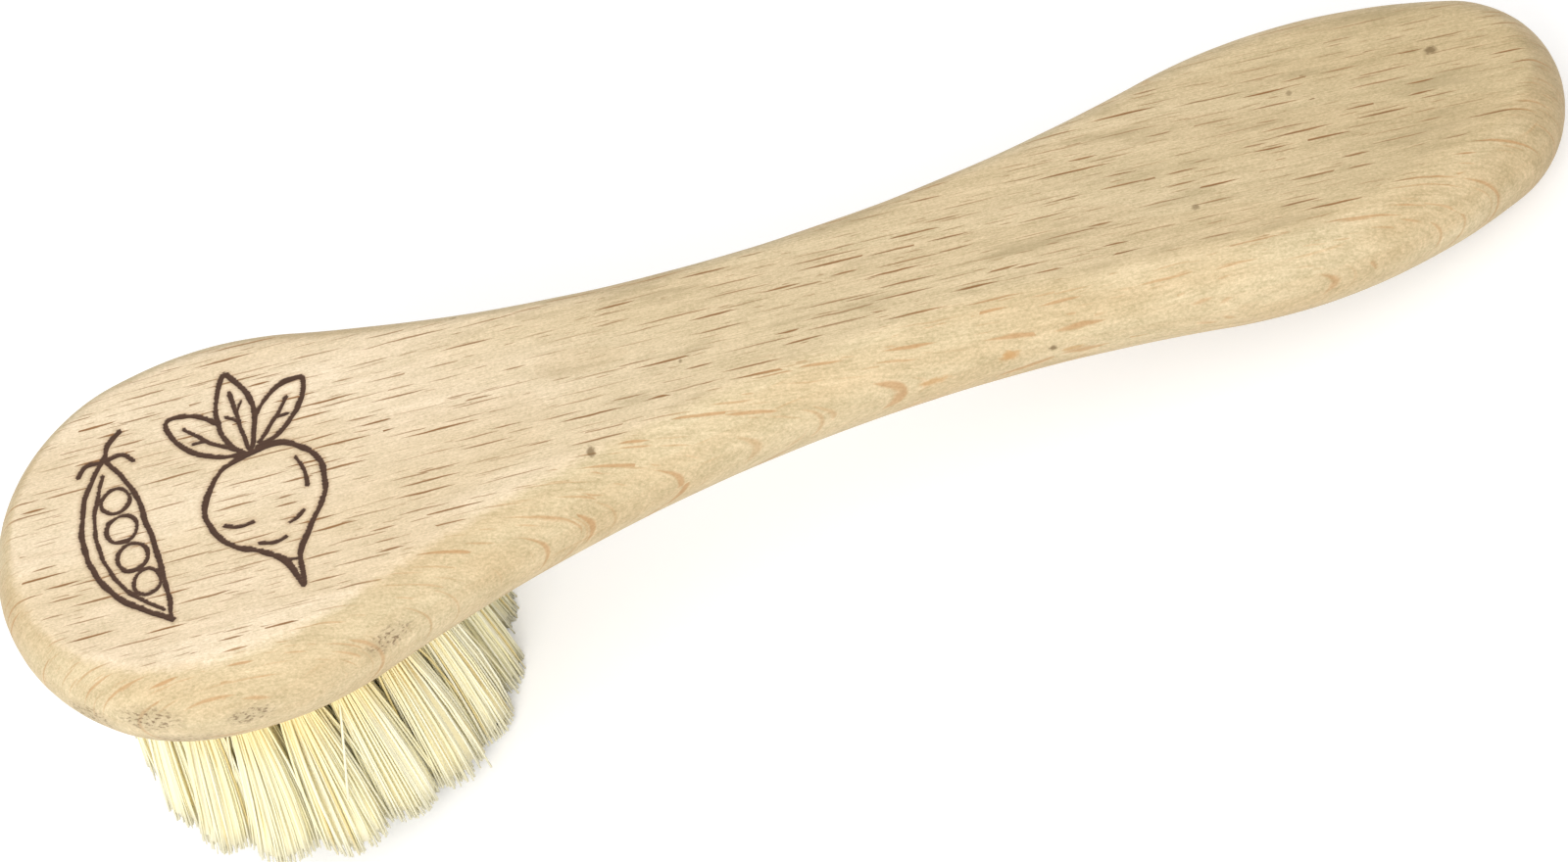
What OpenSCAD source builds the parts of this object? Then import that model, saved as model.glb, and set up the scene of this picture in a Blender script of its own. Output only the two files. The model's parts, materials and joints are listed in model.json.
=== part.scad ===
// Vegetable brush: a waisted beech board with tufts of plant fibre in drilled holes under its head.
// The board is drawn with its top face at z = 0 and its head's tip at x = 0, and is then laid down
// as the brush rests on a table, on its bristle tips and on the lower edge of its tail.

/* [Board] */
// Overall length of the board
board_l = 140; // [130:1:160]
// Thickness of the board
board_t = 12.5; // [11.5:0.5:14]
// Radius of the round nose of the head
nose_r = 17.6; // [16:0.1:19]
// Radius of the arc along each side of the head
head_side_r = 32; // [26:1:40]
// Distance from the head's tip to the narrowest place of the neck
neck_at = 77; // [74:1:82]
// Width of the neck at its narrowest place
neck_w = 17.3; // [15:0.1:19]
// Radius of the hollow arc along each side of the neck
neck_r = 145; // [120:5:165]
// Radius of the arc along each side of the tail
tail_side_r = 48; // [42:1:56]
// Radius of the round end of the tail
tail_end_r = 9.7; // [9:0.1:11]

/* [Board edge] */
// Depth of the edge's widest line below the top face
edge_drop = 5.5; // [5:0.1:6]
// Radius of the edge from its widest line up to the top face
edge_top_r = 7; // [6.5:0.1:9]
// Radius of the edge from its widest line down to the bottom face
edge_low_r = 10; // [9.5:0.1:12]
// Radius of the soft crease between the top face and the edge
crease_r = 1.2; // [0.4:0.1:2]

/* [Holes] */
// Number of rings of holes round the middle one
rings = 3; // [2:1:3]
// Holes in the first ring; each ring further out has as many more
first_ring = 6; // [5:1:6]
// Distance from the head's tip to the middle hole
field_at = 21; // [20:0.5:24]
// Diameter of a hole
hole_d = 3.4; // [3:0.1:3.5]
// Depth of a hole
hole_depth = 8; // [7:0.5:9]
// Wood left between the outer holes and the edge of the bottom face
rim_w = 0.3; // [0.2:0.1:1]
// Lean of the outer ring's holes away from upright, in degrees
splay = 9; // [5:0.5:9]

/* [Tufts] */
// Length of bristle that stands out of the board
bristle_l = 19.5; // [15:0.5:24]
// Strands in a tuft
strands = 13; // [9:1:13]
// Radius of a strand at its root
root_r = 0.25; // [0.2:0.01:0.26]
// Radius of a strand at its tip
tip_r = 0.42; // [0.3:0.01:0.44]
// How far a tuft of the outer ring bows halfway along
bow = 0.25; // [0:0.05:0.3]

/* [Anchors] */
// Width of the flat wire anchor that pins a folded tuft
anchor_w = 3.8; // [3.6:0.1:3.9]
// Thickness of an anchor
anchor_t = 0.35; // [0.3:0.05:0.5]
// Height of an anchor
anchor_h = 2; // [1.5:0.1:2.5]
// Fibre folded over the top of an anchor
fold_h = 1.4; // [1:0.1:2]

/* [Clearances] */
// Gap between a folded tuft and the wall of its hole
tuft_gap = 0.05; // [0.03:0.01:0.1]
// Gap between neighbouring tufts at their tips
tip_gap = 0.04; // [0.03:0.01:0.4]
// Gap all round an anchor
anchor_gap = 0.05; // [0.03:0.01:0.1]

/* [Hidden] */
$fn = 48;
// Steps along the arcs of half the outline: nose, head side, neck, tail side, tail end
ARC_STEPS = [18, 8, 14, 10, 12];
// Steps down the edge: the crease, the part above the widest line and the part below it
EDGE_STEPS = [3, 5, 6];
STRAND_SIDES = 3;
// The turn from one seed to the next in a sunflower
GOLDEN_TURN = 137.508;
// How deep a strand's root is set into the bundle in the hole
ROOT_SET = 1;
// How far the bundle in the hole stays behind the bottom face
BUNDLE_SET = 0.2;
// How far a cut runs past the face that it cuts
PAST = 1;

low_depth = board_t - edge_drop;
low_inset = edge_low_r - sqrt(edge_low_r ^ 2 - low_depth ^ 2);
field_r = nose_r - low_inset - rim_w - hole_d / 2;
trim_z = -board_t - bristle_l;

// Centre of the arc that meets two others, from the distances it keeps to their centres
function meet(a, to_a, b, to_b) =
    let (
        d = norm(b - a),
        u = (b - a) / d,
        along = (d ^ 2 + to_a ^ 2 - to_b ^ 2) / (2 * d),
        aside = sqrt(to_a ^ 2 - along ^ 2)
    )
    a + along * u + aside * [u.y, -u.x];

function direction(v) = atan2(v.y, v.x);

nose_c = [nose_r, 0];
neck_c = [neck_at, neck_w / 2 + neck_r];
tail_c = [board_l - tail_end_r, 0];
head_side_c = meet(nose_c, head_side_r - nose_r, neck_c, head_side_r + neck_r);
tail_side_c = meet(neck_c, tail_side_r + neck_r, tail_c, tail_side_r - tail_end_r);

// Points of an arc, each with the direction out of the board; the last point is left to the next arc
function arc(c, r, from, to, steps, side = 1) = [
    for (i = [0:steps - 1])
        let (a = from + (to - from) * i / steps, u = [cos(a), sin(a)])
        [c + r * u, side * u]
];

half_outline = concat(
    arc(nose_c, nose_r, 180, direction(nose_c - head_side_c), ARC_STEPS[0]),
    arc(
        head_side_c, head_side_r,
        direction(nose_c - head_side_c), direction(neck_c - head_side_c), ARC_STEPS[1]
    ),
    arc(
        neck_c, neck_r,
        direction(head_side_c - neck_c), direction(tail_side_c - neck_c), ARC_STEPS[2], -1
    ),
    arc(
        tail_side_c, tail_side_r,
        direction(neck_c - tail_side_c), direction(tail_c - tail_side_c), ARC_STEPS[3]
    ),
    arc(tail_c, tail_end_r, direction(tail_c - tail_side_c), 0, ARC_STEPS[4])
);
tail_tip = [[board_l, 0], [1, 0]];
far_half = [
    for (i = [len(half_outline) - 1:-1:1])
        [for (v = half_outline[i]) [v.x, -v.y]]
];
outline = concat(half_outline, [tail_tip], far_half);

// The crease's arc touches the top face and the edge's upper arc from inside
crease_in = edge_top_r - sqrt((edge_top_r - crease_r) ^ 2 - (edge_drop - crease_r) ^ 2);
crease_end = direction([edge_top_r - crease_in, edge_drop - crease_r]);

// Inset and height of the edge, from the top face down to the bottom face
edge = concat(
    [
        for (i = [0:EDGE_STEPS[0] - 1])
            let (a = 90 + (crease_end - 90) * i / EDGE_STEPS[0])
            [crease_in - crease_r * cos(a), crease_r * sin(a) - crease_r]
    ],
    [
        for (i = [0:EDGE_STEPS[1]])
            let (a = crease_end * (1 - i / EDGE_STEPS[1]))
            [edge_top_r * (1 - cos(a)), edge_top_r * sin(a) - edge_drop]
    ],
    [
        for (i = [1:EDGE_STEPS[2]])
            let (a = asin(low_depth / edge_low_r) * i / EDGE_STEPS[2])
            [edge_low_r * (1 - cos(a)), -edge_low_r * sin(a) - edge_drop]
    ]
);

// Every hole as its ring's radius, its place round the ring and its lean
holes = concat(
    [[0, 0, 0]],
    [
        for (ring = [1:rings])
            let (n = first_ring * ring, r = field_r * ring / rings)
            for (i = [0:n - 1])
                [r, 360 * (i + 0.5) / n, splay * ring / rings]
    ]
);
function ring_of(i) = round(holes[i][0] / field_r * rings);

// A tuft at its tips fills what room the closest tufts leave it
function tip_ring(ring) = field_r * ring / rings + tan(splay * ring / rings) * bristle_l;
function tip_pitch(ring) = 2 * tip_ring(ring) * sin(180 / (first_ring * ring));
tip_room = min(tip_ring(1), min([for (ring = [1:rings]) tip_pitch(ring)]));
tuft_r = (tip_room - tip_gap) / 2;

ring_names = ["middle", "inner", "second", "outer"];
tuft_names = concat(
    ["tuft_middle"],
    [
        for (ring = [1:rings])
            for (i = [1:first_ring * ring])
                str("tuft_", ring == rings ? "outer" : ring_names[ring], "_", i)
    ]
);

// The cross-section of strand k of tuft i, a part t of the way from its root to its tip
function strand_section(i, k, t) =
    let (
        hole = holes[i],
        z = (ROOT_SET - board_t) * (1 - t) + trim_z * t,
        bundle_r = hole_d / 2 - 2 * tuft_gap - root_r,
        spread = bundle_r * (1 - t) + (tuft_r - tip_r) * t,
        size = root_r * (1 - t) + tip_r * t,
        turn = GOLDEN_TURN * k + 20 * i,
        bend = ring_of(i) == rings ? 4 * bow * t * (1 - t) : 0,
        from_middle = spread * sqrt((k + 0.5) / (strands - 0.5)),
        x = hole[0] - tan(hole[2]) * (z + board_t) + from_middle * cos(turn) + bend * cos(90 * i),
        y = from_middle * sin(turn) + bend * sin(90 * i)
    )
    [
        for (j = [0:STRAND_SIDES - 1])
            let (
                a = turn - 360 * j / STRAND_SIDES,
                px = x + size * cos(a),
                py = y + size * sin(a)
            )
            [
                field_at + px * cos(hole[1]) - py * sin(hole[1]),
                px * sin(hole[1]) + py * cos(hole[1]),
                z
            ]
    ];

// How far the tail drops to the table when the brush stands on the bristle tip p
tail_corner = [board_l - low_inset, -board_t];
function lean_on(p) =
    let (along = tail_corner.x - p.x, up = tail_corner.y - p.z)
    asin(up / norm([along, up]));

outer_tips = [
    for (i = [len(holes) - first_ring * rings:len(holes) - 1])
        for (k = [0:strands - 1])
            for (p = strand_section(i, k, 1)) p
];
lean = max([for (p = outer_tips) lean_on(p)]);

// The ends of the brush as it lies, to centre it over the origin
nose_end = (edge_low_r * cos(lean)) - edge_drop * sin(lean) - edge_low_r;
tip_end = min([for (p = outer_tips) p.x * cos(lean) + p.z * sin(lean)]);
tail_end = (board_l - edge_top_r) * cos(lean) - edge_drop * sin(lean) + edge_top_r;
rest_x = -(min(nose_end, tip_end) + tail_end) / 2;
rest_z = tail_corner.x * sin(lean) - tail_corner.y * cos(lean);

// Lays the brush down as it rests on a table
module at_rest() {
    translate([rest_x, 0, rest_z])
        rotate([0, lean, 0])
            children();
}

// Places something in hole i, with z = 0 at the hole's mouth and +Z into the wood
module in_hole(i) {
    translate([field_at, 0, -board_t])
        rotate([0, 0, holes[i][1]])
            translate([holes[i][0], 0, 0])
                rotate([0, -holes[i][2], 0])
                    children();
}

// A solid skinned over rings of points that lie one above the other, each seen clockwise from above
module skin(sections) {
    n = len(sections[0]);
    last = len(sections) - 1;
    polyhedron(
        [for (s = sections) each s],
        concat(
            [[for (j = [0:n - 1]) j]],
            [
                for (s = [0:last - 1])
                    for (j = [0:n - 1])
                        let (a = s * n + j, b = s * n + (j + 1) % n)
                        for (face = [[a, a + n, b + n], [a, b + n, b]]) face
            ],
            [[for (j = [n - 1:-1:0]) last * n + j]]
        )
    );
}

// The solid board, drawn a little too deep and then planed flat underneath
module board() {
    deep_edge = concat(edge, [[low_inset, -board_t - PAST]]);
    difference() {
        skin([for (e = deep_edge) [for (p = outline) [each p[0] - e[0] * p[1], e[1]]]]);
        translate([-PAST, -2 * nose_r, -board_t - 2 * PAST])
            cube([board_l + 2 * PAST, 4 * nose_r, 2 * PAST]);
    }
}

module hole() {
    translate([0, 0, -PAST])
        cylinder(d = hole_d, h = hole_depth + PAST);
}

// The flat anchor across a hole, grown by a gap on every side
module anchor(gap = 0) {
    translate([0, 0, hole_depth - fold_h - anchor_h / 2])
        cube([anchor_t + 2 * gap, anchor_w + 2 * gap, anchor_h + 2 * gap], center = true);
}

// The fibre folded into a hole, cut off just behind the bottom face of the board
module bundle(i) {
    difference() {
        in_hole(i)
            difference() {
                translate([0, 0, -PAST])
                    cylinder(d = hole_d - 2 * tuft_gap, h = hole_depth + PAST - tuft_gap);
                anchor(anchor_gap);
            }
        translate([field_at, 0, BUNDLE_SET - 2 * board_t])
            cube([4 * nose_r, 4 * nose_r, 2 * board_t], center = true);
    }
}

module handle() {
    color("#e8d3ab")
        at_rest()
            difference() {
                board();
                for (i = [0:len(holes) - 1])
                    in_hole(i) {
                        hole();
                        anchor(anchor_gap);
                    }
            }
}

module tuft_anchors() {
    color("#b4b2ac")
        at_rest()
            for (i = [0:len(holes) - 1])
                in_hole(i)
                    anchor();
}

module tuft(i) {
    stations = ring_of(i) == rings ? [0, 0.5, 1] : [0, 1];
    color("#eee5bf")
        at_rest() {
            bundle(i);
            for (k = [0:strands - 1])
                skin([for (t = stations) strand_section(i, k, t)]);
        }
}

handle();
tuft_anchors();
for (i = [0:len(tuft_names) - 1])
    tuft(i);
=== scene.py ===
import json
import math

import bpy
import numpy as np
from mathutils import Matrix, Vector, geometry, noise
from mathutils.kdtree import KDTree


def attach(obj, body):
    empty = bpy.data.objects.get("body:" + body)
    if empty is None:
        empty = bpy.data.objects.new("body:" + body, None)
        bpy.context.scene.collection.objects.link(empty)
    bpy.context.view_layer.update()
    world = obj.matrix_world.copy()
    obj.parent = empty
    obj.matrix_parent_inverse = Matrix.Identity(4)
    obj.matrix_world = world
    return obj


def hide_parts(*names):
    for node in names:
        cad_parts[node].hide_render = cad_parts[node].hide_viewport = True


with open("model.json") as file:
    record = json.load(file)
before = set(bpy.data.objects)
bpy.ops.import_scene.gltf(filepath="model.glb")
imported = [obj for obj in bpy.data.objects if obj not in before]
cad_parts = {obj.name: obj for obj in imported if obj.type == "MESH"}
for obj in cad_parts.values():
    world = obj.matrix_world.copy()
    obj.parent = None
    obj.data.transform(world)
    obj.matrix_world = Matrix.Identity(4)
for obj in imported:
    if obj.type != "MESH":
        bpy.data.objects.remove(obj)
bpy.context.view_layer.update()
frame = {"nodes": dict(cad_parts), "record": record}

# Everything is drawn in the brush's own frame, in millimetres: x runs from the head's tip to the
# tail, y away from the viewer and z up out of the top face. The top face's mount says how that frame
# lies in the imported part.

# The board, as in the part
BOARD_L = 140.0
BOARD_T = 12.5
NOSE_R = 17.6
HEAD_SIDE_R = 32.0
NECK_AT = 77.0
NECK_W = 17.3
NECK_R = 145.0
TAIL_SIDE_R = 48.0
TAIL_END_R = 9.7
EDGE_DROP = 5.5
EDGE_TOP_R = 7.0
EDGE_LOW_R = 10.0
# The holes and tufts, as in the part
RINGS = 3
FIRST_RING = 6
FIELD_AT = 21.0
HOLE_R = 1.7
HOLE_DEPTH = 8.0
RIM_W = 0.3
SPLAY = 9.0
BRISTLE_L = 19.5
FOLD_AT = 6.6

# Softened corners of the board
TOP_ROUND = 0.95
LOW_ROUND = 0.2
# Points of the board's mesh: the spacing along its outline, the rows down its edge for the top
# corner, the two arcs and the low corner, and the rows over which the side's colour comes in
OUTLINE_STEP = 0.5
EDGE_ROWS = (7, 9, 10, 4)
SIDE_FROM, SIDE_TO = 1, 6
# Points round a hole, and its share of the side's colour
HOLE_SIDES = 28
HOLE_TONE = 0.6
# Smooth unevenness as seed, size and reach: two waves of the top corner, and the side's dents
CORNER_WAVES = ((1.7, 9.0, 0.55), (5.2, 2.6, 0.25))
SIDE_DENTS = (9.9, 5.0, 0.06)

# The burnt mark on the head
MARK_AT = (20.6, 0.0)
MARK_TURN = 7.0
MARK_DEPTH = 0.13
# The wall of a pressed stroke, from outside the stroke's rim to inside it
MARK_WALL = (-0.06, 0.07)
# Spacing of the points along a stroke
STROKE_STEP = 0.12
# How its strokes waver in x and y and swell in width, as seed, size and reach
STROKE_WAVER = ((3.1, 1.6, 0.12), (8.7, 1.6, 0.12))
STROKE_SWELL = (20.3, 1.1, 0.35)
# Grids of points on the top face, all over and round the mark: x and y from and to, and spacing
TOP_GRIDS = ((-0.5, 140.0, -18.0, 18.0, 1.6), (6.0, 35.0, -13.5, 13.5, 0.5))
# The random shift of a grid's points, and the gap between the points and the face's rim
GRID_SHIFT = 0.1
RIM_GAP = 0.25
# How far out from a stroke's rim the top face has rows of points, and the least gap between points
STROKE_ROWS = (-0.07, 0.06, 0.22, 0.42)
LEAST_GAP = 0.07
# Points of the strokes that are tried for the nearest rim, and the distance that means none is near
NEAREST = 6
NO_MARK = 2.0

# Fibres in a tuft, counted before they are folded in two
FIBRES = 122
FIBRE_R = 0.12
FIBRE_SIDES = 4
# How thick the fibres are against that radius, and how much thinner they are at the tips
THICKNESSES = (0.75, 1.25)
THINNER_TIP = 0.12
# Middle and spread of the fibres' tones, from deep to pale
FIBRE_TONES = (0.6, 0.24)
# The circle that the fibres' roots fill, the slot between the two legs, and how wide the tips open
ROOT_R = HOLE_R - 0.2
SLOT = 0.2
TIP_SPREAD = 3.2
# How use has bent the tufts of the outer ring: outward at the tips in millimetres, round the ring in
# degrees, and the spread of the tips against the others'
BENT = {
    "tuft_outer_1": (0.0, -8.0, 0.9),
    "tuft_outer_10": (-0.7, 2.0, 0.95),
    "tuft_outer_11": (-0.1, 0.0, 1.0),
    "tuft_outer_12": (0.5, -4.0, 0.98),
    "tuft_outer_13": (0.0, -5.0, 1.1),
    "tuft_outer_14": (-0.3, -2.0, 1.12),
    "tuft_outer_15": (-0.6, -1.5, 0.95),
    "tuft_outer_16": (-0.4, -3.5, 1.0),
    "tuft_outer_17": (0.1, -7.0, 0.95),
    "tuft_outer_18": (0.0, -10.0, 0.9),
}
# One loose strand lies across the others: its tuft, its tip outward and beside, its reach down, and
# its thickness against the others'
LOOSE_TUFT = "tuft_outer_15"
LOOSE_TIP = np.array([2.4, -5.5])
LOOSE_DOWN = 12.0
LOOSE_THICKER = 1.3

MM_IN_M = 1000
UP = np.array([0, 0, 1])

rng = np.random.default_rng(11)

mount = frame["record"]["mounts"][0]
LEAN = math.atan2(mount["axis"][0], mount["axis"][2])
TO_ROW = (
    Matrix.Translation(mount["pos_m"])
    @ Matrix.Rotation(LEAN, 4, "Y")
    @ Matrix.Scale(1 / MM_IN_M, 4)
    @ Matrix.Translation((-BOARD_L / 2, 0, 0))
)
TO_ROW_NP = np.array(TO_ROW)


def to_row(points):
    """Points of the brush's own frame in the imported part's frame, in metres."""
    return np.asarray(points) @ TO_ROW_NP[:3, :3].T + TO_ROW_NP[:3, 3]


def smoothstep(value, low, high):
    t = np.clip((value - low) / (high - low), 0, 1)
    return t * t * (3 - 2 * t)


def wander(points, seed, size, reach):
    """A smooth random value for each point."""
    return np.array([noise.noise(Vector((p[0] / size, p[1] / size, seed))) for p in points]) * reach


def linear(red, green, blue):
    """A colour of the sRGB scale, 0 to 255, as Blender's linear colour."""
    def channel(v):
        v /= 255
        return v / 12.92 if v <= 0.04045 else ((v + 0.055) / 1.055) ** 2.4
    return (channel(red), channel(green), channel(blue), 1)


def make_piece(name, points, faces, material, attributes):
    """A piece of the brush from points in its own frame, with a value or a vector for each point."""
    mesh = bpy.data.meshes.new(name)
    mesh.from_pydata(to_row(points).tolist(), [], faces)
    for key, kind, values in attributes:
        layer = mesh.attributes.new(key, kind, "POINT")
        layer.data.foreach_set(
            "vector" if kind == "FLOAT_VECTOR" else "value", np.asarray(values, float).ravel()
        )
    mesh.shade_smooth()
    mesh.materials.append(material)
    piece = bpy.data.objects.new(name, mesh)
    bpy.context.scene.collection.objects.link(piece)
    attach(piece, "root")
    return piece


# Shaders

class Shader:
    """Builds the nodes of a material or world. Any input may be a number, a colour or a socket."""

    def __init__(self, owner):
        owner.use_nodes = True
        self.owner = owner
        self.tree = owner.node_tree
        self.surface = self.tree.nodes.get("Principled BSDF") or self.tree.nodes["Background"]

    def put(self, socket, value):
        if isinstance(value, bpy.types.NodeSocket):
            self.tree.links.new(value, socket)
        else:
            socket.default_value = value

    def dress(self, inputs):
        """Sets the surface's inputs by their names, and gives the material or world."""
        for key, value in inputs.items():
            self.put(self.surface.inputs[key], value)
        return self.owner

    def node(self, kind, settings=(), **inputs):
        made = self.tree.nodes.new("ShaderNode" + kind)
        for key, value in dict(settings).items():
            setattr(made, key, value)
        for key, value in inputs.items():
            self.put(made.inputs[key], value)
        return made

    def attribute(self, name, output="Fac"):
        return self.node("Attribute", {"attribute_name": name}).outputs[output]

    def seen(self):
        """Whether a ray from the camera gets here, straight or by way of a shine or a clear piece."""
        path = self.node("LightPath").outputs
        straight = self.math("MAXIMUM", path["Is Camera Ray"], path["Is Glossy Ray"])
        return self.math("MAXIMUM", straight, path["Is Transmission Ray"])

    def math(self, operation, a, b=0.0, c=0.0):
        made = self.tree.nodes.new("ShaderNodeMath")
        made.operation = operation
        for socket, value in zip(made.inputs, (a, b, c)):
            self.put(socket, value)
        return made.outputs[0]

    def vector(self, operation, a, b=(0, 0, 0)):
        made = self.tree.nodes.new("ShaderNodeVectorMath")
        made.operation = operation
        self.put(made.inputs[0], a)
        self.put(made.inputs[1], b)
        return made.outputs["Value" if operation in ("LENGTH", "DOT_PRODUCT") else "Vector"]

    def split(self, vector):
        return self.node("SeparateXYZ", Vector=vector).outputs[:3]

    def join(self, x, y, z):
        return self.node("CombineXYZ", X=x, Y=y, Z=z).outputs[0]

    def noise(self, vector, detail, roughness=0.5):
        made = self.node("TexNoise", Vector=vector, Scale=1.0, Detail=detail, Roughness=roughness)
        return made.outputs["Fac"]

    def waver(self, value, pattern, reach):
        """The value moved up and down by a noise, whose middle is one half."""
        return self.math("MULTIPLY_ADD", self.math("SUBTRACT", pattern, 0.5), reach, value)

    def step(self, value, low, high, to_low=0.0, to_high=1.0):
        made = self.tree.nodes.new("ShaderNodeMapRange")
        made.interpolation_type = "SMOOTHSTEP"
        for socket, v in zip(made.inputs, (value, low, high, to_low, to_high)):
            self.put(socket, v)
        return made.outputs[0]

    def mix(self, factor, a, b, blend="MIX"):
        made = self.tree.nodes.new("ShaderNodeMix")
        made.data_type = "RGBA"
        made.blend_type = blend
        factor_at, a_at, b_at, colour_at = 0, 6, 7, 2
        self.put(made.inputs[factor_at], factor)
        self.put(made.inputs[a_at], a)
        self.put(made.inputs[b_at], b)
        return made.outputs[colour_at]

    def bump(self, height, distance, strength):
        made = self.node("Bump", Height=height, Distance=distance, Strength=strength)
        return made.outputs[0]


# The wood's colours
TOP_PALE = linear(229, 210, 179)
TOP_TAN = linear(219, 199, 164)
# Painted light and shade on the top face: paler at the head, and darker towards the neck and the tail,
# where less light falls
TOP_SHADED_AT_NECK = linear(200, 180, 140)
TOP_SHADED_AT_TAIL = linear(187, 166, 124)
# The side's colours: partly the edge's own wood, and partly painted shade
SIDE_PALE = linear(202, 185, 148)
SIDE_TAN = linear(194, 172, 132)
# Painted shade on the side at the tail's end, which faces away from the light
SIDE_SHADED_AT_END = linear(168, 146, 106)
RING_BAND = linear(175, 143, 100)
RING_LINE = linear(186, 143, 92)
HANDLED = linear(162, 144, 106)
FLECK_DARK = linear(112, 76, 40)
FLECK_PALE = linear(176, 128, 78)
FLECK_SIDE = linear(176, 122, 66)
KNOT = linear(110, 86, 50)
STAIN = linear(190, 142, 84)
# A soft grey that darkens the low rim at the head, round the grit in its pores
LOW_RIM_GREY = linear(150, 133, 104)
GRIT = linear(124, 102, 73)
SCORCH = linear(147, 103, 64)
CHAR_DARK = linear(55, 35, 26)
CHAR_PALE = linear(92, 65, 47)

# Where along the board painted shade makes the top face darker, at the neck and the tail, and the side
# at its end, and where the border between them sharpens and the grain grows livelier
NECK_FADE = (34.0, 70.0)
TAIL_FADE = (85.0, 138.0)
END_FADE = (126.0, 140.0)
BORDER_FADE = (40.0, 90.0)
GRAIN_FADE = (30.0, 90.0)
HANDLED_FADE = (28.0, 60.0)
# The grain's slope to the board's axis at the head's tip, and half of what it gains each millimetre
GRAIN_SLOPE = 0.0875
GRAIN_CURVE = 0.00022
# Growth rings: their gap, their crown across the grain, their slope along it, and their drift
RING_GAP = 2.3
RING_CROWN = 0.012
RING_SLOPE = 0.035
RING_DRIFT = 5.0
# Ray flecks: the cells' size and shift, a fleck's longest and widest half, and the share with a fleck
LARGE_FLECKS = ((7.2, 1.15, 22.0), (0.3, 0.1, 0.2), 3.6, 0.105, 0.97)
SMALL_FLECKS = ((3.1, 0.8, 14.0), (5.7, 3.4, 1.9), 1.5, 0.055, 0.5)
# Small knots of the board, and stains of its side: place, half-size and strength
KNOTS = (
    ((52.5, -7.8, 0.0), (0.45, 0.6, 1.0), 0.75),
    ((91.8, -8.9, -6.0), (0.5, 1.5, 0.5), 0.8),
    ((130.0, 2.6, 0.0), (0.8, 0.55, 1.0), 0.75),
    ((44.5, 10.1, 0.0), (0.5, 0.35, 1.0), 0.6),
    ((117.6, 3.2, 0.0), (0.3, 0.35, 1.0), 0.5),
    ((106.7, -4.7, 0.0), (0.45, 0.4, 1.0), 0.6),
    ((61.9, -2.2, 0.0), (0.25, 0.3, 1.0), 0.6),
)
STAINS = (
    ((81.5, -8.4, -5.8), (1.8, 2.0, 0.7), 0.6),
    ((88.2, -8.8, -5.4), (1.2, 2.0, 0.9), 0.75),
    ((93.5, -9.0, -6.8), (1.7, 2.0, 0.5), 0.5),
)
# Where grit has settled in the pores and the wood is greyed, place and half-size, and the strength there
# and elsewhere
DIRT = (
    ((5.5, -12.5, -5.8), (3.4, 3.4, 2.4)),
    ((10.8, -15.4, -4.4), (4.2, 3.0, 2.4)),
    ((11.5, -16.4, -8.6), (6.0, 3.0, 2.2)),
    ((18.7, -17.8, -5.6), (3.0, 2.5, 1.9)),
    ((31.6, -15.8, -4.6), (3.2, 2.5, 1.8)),
)
DIRT_STRENGTH = 0.9
DIRT_ELSEWHERE = 0.05


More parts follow.
